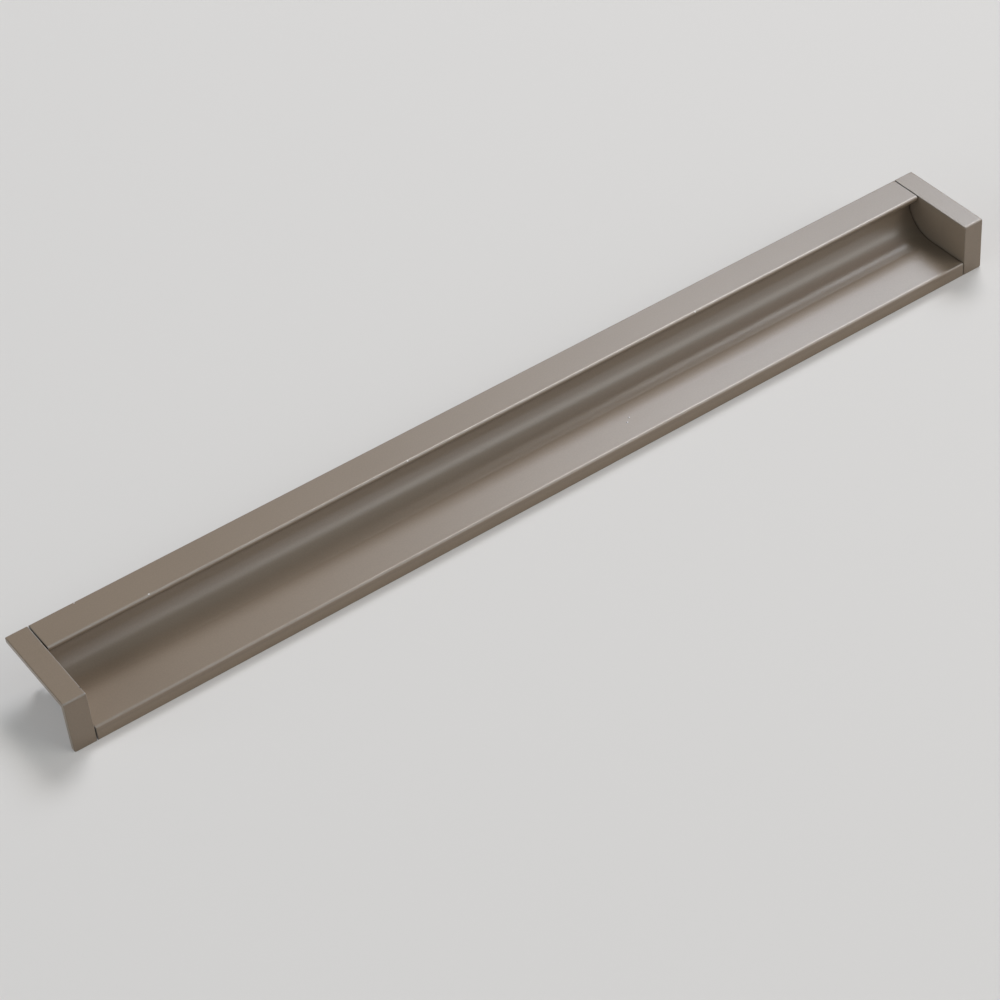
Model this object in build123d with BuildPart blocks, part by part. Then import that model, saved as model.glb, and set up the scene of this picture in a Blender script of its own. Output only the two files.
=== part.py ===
"""Handleless finger pull: a curved aluminium channel with a cover rim, closed by two end caps.

The pull sits in a pocket routed into the upper front edge of a door. Its rim and the caps'
top plates lie on the door's face, its front flange hangs over the door's edge, and fingers
reach into the channel and behind the rim.

Frame: +X along the channel, +Y from the front flange to the rim, +Z up out of the door.
The origin is below the middle of the part, level with the lowest edge. Millimetres.
"""
import os
from math import atan2, degrees, sqrt

from build123d import *

# Overall sizes
length = 300.0
depth = 30.5
height = 17.0

# Channel section
wall = 1.5
rim_thickness = 1.6
rim_width = 10.5
rim_reach = 3.9
door_lap = 3.0
wall_above_curve = 0.9
lip_round = 0.7
nose_round = 0.6
edge_round = 0.35
root_round = 0.5

# Screw port on the outside of the curve
port_bore_radius = 1.2
port_wall = 1.1
port_slot = 1.1
port_bite = 0.8
port_root_round = 0.4
port_margin = 0.2

# End caps
cap_width = 6.5
cap_wall = 2.0
cap_front_round = 0.6
cap_corner_round = 0.6
cap_edge_round = 0.3
end_gap = 0.25

# Peg and rib that locate each cap
peg_length = 6.0
peg_clearance = 0.1
peg_chamfer = 0.4
rib_length = 3.5
rib_height = 1.6
rib_thickness = 1.2
rib_drop = 1.2
rib_clearance = 0.1

# Lines that several pieces share
front = -depth / 2
back = depth / 2
rim_underside = height - rim_thickness
nose = back - rim_width
channel_back = nose + rim_reach
channel_outside = channel_back + wall
floor_top = door_lap + wall
channel_radius = rim_underside - wall_above_curve - floor_top
curve_start = channel_back - channel_radius
curve_top = floor_top + channel_radius
curve_outer_radius = channel_radius + wall
cap_inner = length / 2 - cap_width
profile_end = cap_inner - end_gap

# The caps' ribs stand just off the channel's outside, below the end of its curve
rib_top = curve_top - rib_drop
rib_front = curve_start + sqrt(curve_outer_radius**2 - rib_drop**2) + rib_clearance
pocket_back = rib_front + rib_thickness

# The screw port clears the pocket's floor by its margin and bites into the curve's outside
port_radius = port_bore_radius + port_wall
port_z = door_lap + port_margin + port_radius
port_distance = curve_outer_radius + port_radius - port_bite
port_y = curve_start + sqrt(port_distance**2 - (curve_top - port_z) ** 2)
port_angle = degrees(atan2(port_z - curve_top, port_y - curve_start))


def at(axis, value):
    """Return a test for the corners, edges or faces whose centre is at a value along an axis."""
    return lambda shape: abs(getattr(shape.center(), axis) - value) < 1e-4


def channel_corners(y, z):
    """Return the corner of the channel's section that lies at y, z."""
    return channel_section.vertices().filter_by(at("X", y)).filter_by(at("Y", z))


def cap_edges(*places):
    """Return the left cap's edges that lie at each given axis and value."""
    edges = end_cap_left.edges()
    for axis, value in zip(places[::2], places[1::2]):
        edges = edges.filter_by(at(axis, value))
    return edges


# Channel profile: one extruded section between the two caps
with BuildPart() as channel_profile:
    with BuildSketch(Plane.YZ.offset(-profile_end)) as channel_section:
        with BuildLine():
            Polyline((front + wall, 0), (front, 0), (front, floor_top), (curve_start, floor_top))
            CenterArc((curve_start, curve_top), channel_radius, -90, 90)
            Polyline(
                (channel_back, curve_top),
                (channel_back, rim_underside),
                (nose, rim_underside),
                (nose, height),
                (back, height),
                (back, rim_underside),
                (channel_outside, rim_underside),
                (channel_outside, curve_top),
            )
            CenterArc((curve_start, curve_top), curve_outer_radius, 0, -90)
            Polyline((curve_start, door_lap), (front + wall, door_lap), (front + wall, 0))
        make_face()
        fillet(channel_corners(nose, height) + channel_corners(nose, rim_underside), nose_round)
        fillet(channel_corners(back, height) + channel_corners(back, rim_underside), edge_round)
        fillet(channel_corners(front, 0) + channel_corners(front + wall, 0), edge_round)
        fillet(channel_corners(front, floor_top), lip_round)
        fillet(channel_corners(channel_back, rim_underside), root_round)
        fillet(channel_corners(channel_outside, rim_underside), root_round)
        with Locations((port_y, port_z)):
            Circle(port_radius)
        curve_centre = Vector(curve_start, curve_top)
        port_centre = Vector(port_y, port_z)
        port_roots = channel_section.vertices().filter_by(
            lambda corner: abs((corner.center() - curve_centre).length - curve_outer_radius) < 1e-3
            and abs((corner.center() - port_centre).length - port_radius) < 1e-3
        )
        fillet(port_roots, port_root_round)
        with Locations(Location((port_y, port_z, 0), port_angle)):
            Circle(port_bore_radius, mode=Mode.SUBTRACT)
            Rectangle(
                port_radius * 2, port_slot, align=(Align.MIN, Align.CENTER), mode=Mode.SUBTRACT
            )
    extrude(amount=2 * profile_end)
channel_profile.part.label = "channel_profile"

# Left end cap: a cover over the top and front edge, and a wall that closes the channel
with BuildPart() as end_cap_left:
    with BuildSketch(Plane.YZ.offset(-length / 2)):
        Rectangle(depth, height, align=(Align.CENTER, Align.MIN))
    extrude(amount=cap_width)
    fillet(cap_edges("Y", front, "Z", height), cap_front_round)
    fillet(cap_edges("X", -length / 2, "Z", 0), cap_corner_round)
    side_outlines = cap_edges("X", -length / 2) + cap_edges("X", -cap_inner)
    long_edges = cap_edges("Y", back, "Z", height) + cap_edges("Y", front, "Z", 0)
    fillet(side_outlines + long_edges, cap_edge_round)
    # Hollow it under the top plate and behind the front plate
    with BuildSketch(Plane.YZ.offset(-length / 2)):
        with Locations((front + wall, 0)):
            Rectangle(depth, rim_underside, align=(Align.MIN, Align.MIN))
    extrude(amount=cap_width, mode=Mode.SUBTRACT)
    # Wall at the channel's end, from the pocket's floor up into the plates
    with BuildSketch(Plane.YZ.offset(-cap_inner)):
        with Locations((front + wall / 2, door_lap)):
            Rectangle(
                pocket_back - front - wall / 2,
                height - rim_thickness / 2 - door_lap,
                align=(Align.MIN, Align.MIN),
            )
    extrude(amount=-cap_wall)
    # Peg that enters the screw port
    with BuildSketch(Plane.YZ.offset(-cap_inner)):
        with Locations((port_y, port_z)):
            Circle(port_bore_radius - peg_clearance)
    extrude(amount=peg_length)
    chamfer(end_cap_left.faces().sort_by(Axis.X)[-1].edges(), peg_chamfer)
    # Rib that bears on the channel from outside
    with BuildSketch(Plane.YZ.offset(-cap_inner)):
        with Locations((pocket_back, rib_top)):
            Rectangle(rib_thickness, rib_height, align=(Align.MAX, Align.MAX))
    extrude(amount=rib_length)
end_cap_left.part.label = "end_cap_left"

# Right end cap: the left one mirrored
with BuildPart() as end_cap_right:
    mirror(end_cap_left.part, about=Plane.YZ)
end_cap_right.part.label = "end_cap_right"

os.makedirs("parts", exist_ok=True)
export_step(channel_profile.part, "parts/channel_profile.step")
export_step(end_cap_left.part, "parts/end_cap_left.step")
export_step(end_cap_right.part, "parts/end_cap_right.step")
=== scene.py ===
"""The looks of a finger pull: the satin taupe lacquer of its profile and its end caps, a pale
floor, soft lamps and the camera. Metres, in the part's own frame."""

from math import cos, radians, sin

import bpy
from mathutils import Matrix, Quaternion, Vector


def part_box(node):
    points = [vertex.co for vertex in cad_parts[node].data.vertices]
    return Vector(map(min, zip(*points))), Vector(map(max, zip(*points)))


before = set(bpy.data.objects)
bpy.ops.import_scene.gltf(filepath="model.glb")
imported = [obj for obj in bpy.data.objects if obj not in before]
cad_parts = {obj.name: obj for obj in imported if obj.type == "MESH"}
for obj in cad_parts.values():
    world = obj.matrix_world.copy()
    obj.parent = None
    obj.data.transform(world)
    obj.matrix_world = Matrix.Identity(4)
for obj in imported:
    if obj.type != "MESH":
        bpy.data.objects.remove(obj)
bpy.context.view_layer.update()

# Camera
CAMERA_PLACE = Vector((-0.3135, -0.4935, 0.5175))
CAMERA_AIM = Vector((-0.0246, -0.0233, 0.0170))
CAMERA_ROLL = radians(-5.65)
CAMERA_LENS = 103.48
CAMERA_SENSOR = 36.0
CAMERA_NEAREST = 0.01

# Lines of the profile and the caps that the finish follows
PROFILE_LOW, PROFILE_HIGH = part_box("channel_profile")
CAP_LOW, CAP_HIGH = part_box("end_cap_right")
CAP_INNER = 0.1435
FRONT = PROFILE_LOW.y
RIM_TOP = PROFILE_HIGH.z
NOSE = 0.00475
LIP_TOP = 0.0045
NOSE_ROUND = 0.0006
LIP_ROUND = 0.0007
CAP_FRONT_ROUND = 0.0006

# Colours, linear
LACQUER = (0.246, 0.184, 0.130)
# Lighter tone of the rubbed edges, which also paints their highlight lines
WORN_LACQUER_AND_HIGHLIGHT = (0.46, 0.45, 0.44)
# Bare metal of nicks, also the painted highlight of two raised grains
BARE_METAL_AND_HIGHLIGHT = (0.66, 0.63, 0.59)
# Dark tone of grime marks, also laid on as painted shade
GRIME_AND_SHADE = (0.045, 0.036, 0.028)
FLOOR_PAINT = (0.74, 0.69, 0.635)
FLOOR_SEEN = (0.50, 0.465, 0.43)
FLOOR_GLOW = (0.20, 0.20, 0.20)
SURROUND = (0.08, 0.08, 0.08)

# Grain of the finish: size of its lumps and depth of its relief
NOISE_RANGE = (0.3, 0.7)
CLOUD_SIZE = 0.030
HANDLING_SIZE = 0.018
PEEL_SIZE, PEEL_DEPTH = 0.0016, 0.000006
RUB_SIZE, RUB_STRETCH = 0.0009, 3
SKIN_SIZE, SKIN_DEPTH = 0.0006, 0.000003
FLAKE_SIZE, FLAKE_DEPTH = 0.00045, 0.0000012
FLAKE_RANGE = (0.35, 0.65)
DIE_LINE_SIZE, DIE_LINE_DEPTH = 0.00035, 0.0000015
DIE_LINE_STRETCH = 400

# Coat: refraction, range of roughness, and how much clouds and flake change its tone
COAT_IOR = 1.5
COAT_ROUGHNESS = (0.274, 0.286)
CLOUD_TONES = (0.985, 1.015)
FLAKE_TONES = (0.975, 1.025)

# Rubbed edges, lightened also as painted highlight lines: place on the round, reach, and how far
# the coat wears there
CREST_IN, CREST_DOWN = 0.45, 0.1
PROFILE_EDGE_REACH = 0.0006
CAP_EDGE_REACH = 0.0005
INNER_EDGE_OFFSET, INNER_EDGE_REACH = 0.0001, 0.00035
LIP_WEAR = 0.8
LEAST_RUBBED = 0.7
PROFILE_BARE, CAP_BARE = 0.36, 0.35
WORN_AND_HIGHLIGHT_SHARE = 0.34
WORN_ROUGHNESS = 0.03

# Painted shade under the nose and lip, at the joints and on the caps' front faces: distance below
# its edge, reach and share
NOSE_SHADE_DROP, NOSE_SHADE_REACH, NOSE_SHADE = 0.0012, 0.0008, 0.38
LIP_SHADE_DROP, LIP_SHADE_REACH, LIP_SHADE = 0.0013, 0.0007, 0.12
JOINT_SHADE_REACH, JOINT_SHADE = 0.0003, 0.6
CAP_JOINT_DROP, CAP_JOINT_REACH, CAP_JOINT_SHADE = 0.00032, 0.00034, 0.85
JOINT_FADE = 0.0002
FRONT_PLATE_SHADE = 0.12
FRONT_PLATE_FROM, FRONT_PLATE_TO = 0.0002, 0.0007

# Small marks in the lacquer, among them the painted shade and painted highlight of two raised
# grains: place, radius and colour
PROFILE_MARKS = (
    ((-0.11372, 0.00534, 0.0170), 0.00028, BARE_METAL_AND_HIGHLIGHT),
    ((-0.13024, 0.01480, 0.0170), 0.00022, BARE_METAL_AND_HIGHLIGHT),
    ((-0.03450, 0.00505, 0.0169), 0.00026, BARE_METAL_AND_HIGHLIGHT),
    ((0.06200, 0.00505, 0.0169), 0.00028, BARE_METAL_AND_HIGHLIGHT),
    # Two raised grains on the channel's floor, each a painted shade spot beside a painted
    # highlight spot
    ((0.02890, -0.00702, 0.0045), 0.00020, GRIME_AND_SHADE),
    ((0.02922, -0.00702, 0.0045), 0.00018, BARE_METAL_AND_HIGHLIGHT),
    ((0.02736, -0.00833, 0.0045), 0.00020, GRIME_AND_SHADE),
    ((0.02768, -0.00833, 0.0045), 0.00018, BARE_METAL_AND_HIGHLIGHT),
)
CAP_MARKS = (
    ((-0.14366, -0.01250, 0.0170), 0.00026, GRIME_AND_SHADE),
    ((-0.14346, -0.01481, 0.0170), 0.00030, BARE_METAL_AND_HIGHLIGHT),
)
MARK_CORE = 0.6

# Floor
FLOOR_SIZE = 12
FLOOR_ROUGHNESS = 0.9

# Soft boxes: name, azimuth and elevation, width and height, power, tint.
# Azimuth 0 is behind the part and 90 is at its right.
LAMP_DISTANCE = 3.0
LAMPS = (
    ("lamp_right_back", 55.5, 50, 1.4, 1.0, 45, (0.79, 0.87, 1.0)),
    ("lamp_right_back_left", 42, 50, 0.9, 0.9, 11, (0.94, 0.96, 1.0)),
    ("lamp_right_back_high", 55, 57, 1.3, 0.6, 8, (1.0, 0.88, 0.65)),
    ("lamp_right_back_low", 57, 38, 1.0, 0.7, 10, (0.80, 0.90, 1.0)),
    ("lamp_right", 105, 48, 1.5, 1.5, 6.5, (1.0, 0.83, 0.84)),
    ("lamp_front_top", 150, 65, 2.0, 2.0, 4.5, (0.68, 0.95, 1.0)),
    ("lamp_front_right", 143, 39, 1.3, 0.8, 9.5, (0.96, 1.0, 0.98)),
    ("lamp_front_right_wide", 146, 28, 2.2, 2.1, 23.5, (0.93, 0.965, 1.0)),
    ("lamp_left", -90, 18, 3.8, 1.8, 41, (0.79, 0.90, 1.0)),
)


def place_camera():
    """Set up the camera that the picture is taken with."""
    data = bpy.data.cameras.new("camera")
    data.lens = CAMERA_LENS
    data.sensor_width = CAMERA_SENSOR
    data.clip_start = CAMERA_NEAREST
    camera = bpy.data.objects.new("camera", data)
    camera.location = CAMERA_PLACE
    camera.rotation_mode = "QUATERNION"
    look = (CAMERA_AIM - CAMERA_PLACE).to_track_quat("-Z", "Y")
    camera.rotation_quaternion = look @ Quaternion((0, 0, 1), CAMERA_ROLL)
    bpy.context.collection.objects.link(camera)
    bpy.context.scene.camera = camera


place_camera()


class Finish:
    """A material under way: its node tree, its shader and the place on the piece."""

    def __init__(self, name):
        self.material = bpy.data.materials.new(name)
        self.material.use_nodes = True
        self.tree = self.material.node_tree
        self.shader = self.tree.nodes["Principled BSDF"]
        self.place = self.tree.nodes.new("ShaderNodeTexCoord").outputs["Object"]
        self.x, self.y, self.z = self.node("ShaderNodeSeparateXYZ", {0: self.place}).outputs

    def node(self, kind, feeds, **settings):
        """Add a node, set its options, and feed its inputs with numbers or other outputs."""
        node = self.tree.nodes.new(kind)
        for name, value in settings.items():
            setattr(node, name, value)
        for name, value in feeds.items():
            self.feed(node.inputs[name], value)
        return node

    def feed(self, socket, value):
        """Link an output to a socket, or set the socket's own value."""
        if isinstance(value, bpy.types.NodeSocket):
            self.tree.links.new(value, socket)
        elif isinstance(value, tuple) and len(socket.default_value) == 4:
            socket.default_value = (*value, 1)
        else:
            socket.default_value = value

    def maths(self, operation, *values):
        """Return a sum, product or other operation on numbers and outputs."""
        return self.node("ShaderNodeMath", dict(enumerate(values)), operation=operation).outputs[0]

    def grain(self, size, detail, shift, stretch=1.0):
        """Return noise from 0 to 1 with lumps of a size, drawn out along X by a stretch."""
        spot = self.node(
            "ShaderNodeMapping",
            {"Vector": self.place, "Location": (shift,) * 3, "Scale": (1 / stretch, 1, 1)},
        ).outputs[0]
        feeds = {"Vector": spot, "Scale": 1 / size, "Detail": detail}
        return self.node("ShaderNodeTexNoise", feeds).outputs["Fac"]

    def spread(self, value, low, high, new_low, new_high):
        """Return a value carried smoothly from one range to another."""
        feeds = {
            "Value": value,
            "From Min": low,
            "From Max": high,
            "To Min": new_low,
            "To Max": new_high,
        }
        node = self.node("ShaderNodeMapRange", feeds, interpolation_type="SMOOTHSTEP")
        return node.outputs["Result"]

    def blend(self, share, first, second):
        """Return one colour laid over another by a share."""
        node = self.node("ShaderNodeMix", {0: share, 6: first, 7: second}, data_type="RGBA")
        return node.outputs[2]

    def tint(self, colour, factor):
        """Return a colour made lighter or darker by a factor."""
        feeds = {0: colour, "Scale": factor}
        return self.node("ShaderNodeVectorMath", feeds, operation="SCALE").outputs[0]

    def distance(self, first, second):
        """Return the distance between two places."""
        feeds = {0: first, 1: second}
        return self.node("ShaderNodeVectorMath", feeds, operation="DISTANCE").outputs["Value"]

    def near_line(self, first, at_first, second, at_second, reach, share=1):
        """Return a share where two coordinates have given values, and 0 beyond a reach."""
        place = self.node("ShaderNodeCombineXYZ", {0: first, 1: second}).outputs[0]
        return self.spread(self.distance(place, (at_first, at_second, 0)), 0, reach, share, 0)

    def crest(self, front, top, radius, reach, share=1):
        """Return a share along a rounded upper front edge, and 0 beyond a reach from it."""
        return self.near_line(
            self.y, front + CREST_IN * radius, self.z, top - CREST_DOWN * radius, reach, share
        )

    def near_spot(self, spot, reach):
        """Return 1 within a small round spot, falling to 0 at its edge."""
        return self.spread(self.distance(self.place, spot), MARK_CORE * reach, reach, 1, 0)

    def bump(self, height, depth, under=None):
        """Return a normal with a relief of a depth, laid over another normal."""
        feeds = {"Height": height, "Distance": depth, "Strength": 1.0}
        if under is not None:
            feeds["Normal"] = under
        return self.node("ShaderNodeBump", feeds).outputs[0]


def satin_coat(finish, seed):
    """Return the sprayed coat: a cloudy metallic colour, fine flake and a faint orange peel."""
    clouds = finish.grain(CLOUD_SIZE, detail=3, shift=seed)
    flake = finish.grain(FLAKE_SIZE, detail=1, shift=seed + 1)
    peel = finish.grain(PEEL_SIZE, detail=2, shift=seed + 2)
    handling = finish.grain(HANDLING_SIZE, detail=2, shift=seed + 3)
    cloudy = finish.spread(clouds, *NOISE_RANGE, *CLOUD_TONES)
    glints = finish.spread(flake, *FLAKE_RANGE, *FLAKE_TONES)
    colour = finish.tint(LACQUER, finish.maths("MULTIPLY", cloudy, glints))
    roughness = finish.spread(handling, *NOISE_RANGE, *COAT_ROUGHNESS)
    relief = finish.bump(peel, PEEL_DEPTH)
    relief = finish.bump(flake, FLAKE_DEPTH, relief)
    finish.shader.inputs["IOR"].default_value = COAT_IOR
    return colour, roughness, relief


def rub_and_highlight(finish, colour, roughness, edges, patches, bare):
    """Return the coat's colour and roughness with its edges rubbed in patches, partly to metal,
    and lightened as a painted highlight line.
    """
    worn_and_highlit = finish.maths("MULTIPLY", edges, finish.spread(patches, *NOISE_RANGE, LEAST_RUBBED, 1))
    finish.feed(finish.shader.inputs["Metallic"], finish.maths("MULTIPLY", worn_and_highlit, bare))
    roughness = finish.maths("ADD", roughness, finish.maths("MULTIPLY", worn_and_highlit, WORN_ROUGHNESS))
    # The lighter edge tone is wear and also a painted highlight line
    colour = finish.blend(finish.maths("MULTIPLY", worn_and_highlit, WORN_AND_HIGHLIGHT_SHARE), colour, WORN_LACQUER_AND_HIGHLIGHT)
    return colour, roughness


def finish_with(finish, colour, marks, roughness, relief):
    """Lay marks over the colour, link all to the shader and return the material."""
    for spot, radius, shade in marks:
        colour = finish.blend(finish.near_spot(spot, radius), colour, shade)
    finish.feed(finish.shader.inputs["Base Color"], colour)
    finish.feed(finish.shader.inputs["Roughness"], roughness)
    finish.feed(finish.shader.inputs["Normal"], relief)
    return finish.material


def profile_lacquer():
    """Return the lacquer of the extruded profile, with faint die lines, rubbed edges lightened as
    painted highlight lines, and painted shade under the nose, under the lip and at its ends.
    """
    finish = Finish("profile_satin_lacquer")
    colour, roughness, relief = satin_coat(finish, seed=0.0)
    die_lines = finish.grain(DIE_LINE_SIZE, detail=2, shift=7.0, stretch=DIE_LINE_STRETCH)
    relief = finish.bump(die_lines, DIE_LINE_DEPTH, relief)

    nose_edge = finish.crest(NOSE, RIM_TOP, NOSE_ROUND, PROFILE_EDGE_REACH)
    lip_edge = finish.crest(FRONT, LIP_TOP, LIP_ROUND, PROFILE_EDGE_REACH, LIP_WEAR)
    edges = finish.maths("MAXIMUM", nose_edge, lip_edge)
    patches = finish.grain(RUB_SIZE, detail=4, shift=9.0, stretch=RUB_STRETCH)
    colour, roughness = rub_and_highlight(finish, colour, roughness, edges, patches, PROFILE_BARE)

    # Painted shade on the faces under the nose and under the lip
    under_nose = finish.near_line(
        finish.y, NOSE, finish.z, RIM_TOP - NOSE_SHADE_DROP, NOSE_SHADE_REACH, NOSE_SHADE
    )
    under_lip = finish.near_line(
        finish.y, FRONT, finish.z, LIP_TOP - LIP_SHADE_DROP, LIP_SHADE_REACH, LIP_SHADE
    )
    # Painted shade at the profile's ends, darkening its joints with the caps
    outward = finish.maths("ABSOLUTE", finish.x)
    end = PROFILE_HIGH.x
    joint = finish.spread(outward, end - JOINT_SHADE_REACH, end, 0, JOINT_SHADE)
    # This share is painted shade, laid on in the dark tone
    painted_shade = finish.maths("MAXIMUM", finish.maths("MAXIMUM", under_nose, under_lip), joint)
    colour = finish.blend(painted_shade, colour, GRIME_AND_SHADE)
    return finish_with(finish, colour, PROFILE_MARKS, roughness, relief)


def cap_lacquer():
    """Return the lacquer of the cast end caps, with a finer skin, rubbed edges lightened as
    painted highlight lines, and painted shade at the joint beside the rim and on the front faces.
    """
    finish = Finish("cap_satin_lacquer")
    colour, roughness, relief = satin_coat(finish, seed=20.0)
    skin = finish.grain(SKIN_SIZE, detail=3, shift=27.0)
    relief = finish.bump(skin, SKIN_DEPTH, relief)

    outward = finish.maths("ABSOLUTE", finish.x)
    front_edge = finish.crest(CAP_LOW.y, CAP_HIGH.z, CAP_FRONT_ROUND, CAP_EDGE_REACH)
    inner_edge = finish.near_line(
        outward, CAP_INNER + INNER_EDGE_OFFSET, finish.z, CAP_HIGH.z, INNER_EDGE_REACH
    )
    edges = finish.maths("MAXIMUM", front_edge, inner_edge)
    patches = finish.grain(RUB_SIZE, detail=4, shift=29.0)
    colour, roughness = rub_and_highlight(finish, colour, roughness, edges, patches, CAP_BARE)

    # Painted shade on the cap's inner edge beside the rim, darkening its joint with the profile
    beside_rim = finish.spread(finish.y, NOSE, NOSE + JOINT_FADE, 0, CAP_JOINT_SHADE)
    joint = finish.near_line(
        outward, CAP_INNER, finish.z, CAP_HIGH.z - CAP_JOINT_DROP, CAP_JOINT_REACH
    )
    # Painted shade making the caps' front faces darker than their tops
    front_plate = finish.spread(
        finish.y, CAP_LOW.y + FRONT_PLATE_FROM, CAP_LOW.y + FRONT_PLATE_TO, FRONT_PLATE_SHADE, 0
    )
    # This share is painted shade, laid on in the dark tone
    painted_shade = finish.maths("MAXIMUM", finish.maths("MULTIPLY", joint, beside_rim), front_plate)
    colour = finish.blend(painted_shade, colour, GRIME_AND_SHADE)
    return finish_with(finish, colour, CAP_MARKS, roughness, relief)


def paint(node, material):
    """Give a piece its finish through its own material slots."""
    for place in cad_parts[node].material_slots:
        place.material = material


paint("channel_profile", profile_lacquer())
caps = cap_lacquer()
paint("end_cap_left", caps)
paint("end_cap_right", caps)


def pale_floor():
    """Lay a wide pale floor under the part, with a faint glow in view that keeps shadows light."""
    bpy.ops.mesh.primitive_plane_add(size=FLOOR_SIZE)
    floor = bpy.context.object
    floor.name = "floor"
    finish = Finish("floor_paint")
    rays = finish.node("ShaderNodeLightPath", {}).outputs
    seen = finish.maths("MAXIMUM", rays["Is Camera Ray"], rays["Is Glossy Ray"])
    finish.feed(finish.shader.inputs["Base Color"], finish.blend(seen, FLOOR_PAINT, FLOOR_SEEN))
    finish.feed(finish.shader.inputs["Roughness"], FLOOR_ROUGHNESS)
    finish.feed(finish.shader.inputs["Emission Color"], FLOOR_GLOW)
    finish.feed(finish.shader.inputs["Emission Strength"], seen)
    floor.data.materials.append(finish.material)


pale_floor()


def hang_lamp(name, azimuth, elevation, width, height, power, tint):
    """Hang a soft box that faces the part."""
    data = bpy.data.lights.new(name, "AREA")
    data.shape = "RECTANGLE"
    data.size = width
    data.size_y = height
    data.energy = power
    data.color = tint
    lamp = bpy.data.objects.new(name, data)
    across = LAMP_DISTANCE * cos(radians(elevation))
    lamp.location = (
        across * sin(radians(azimuth)),
        across * cos(radians(azimuth)),
        LAMP_DISTANCE * sin(radians(elevation)),
    )
    lamp.rotation_mode = "QUATERNION"
    lamp.rotation_quaternion = (-lamp.location).to_track_quat("-Z", "Y")
    bpy.context.collection.objects.link(lamp)


def light_studio():
    """Light the part with window-like boxes at its right back, softer ones and a dim surround."""
    for lamp in LAMPS:
        hang_lamp(*lamp)
    world = bpy.data.worlds.new("studio")
    bpy.context.scene.world = world
    world.use_nodes = True
    world.node_tree.nodes["Background"].inputs["Color"].default_value = (*SURROUND, 1)


light_studio()
bpy.context.scene.view_settings.view_transform = "Standard"
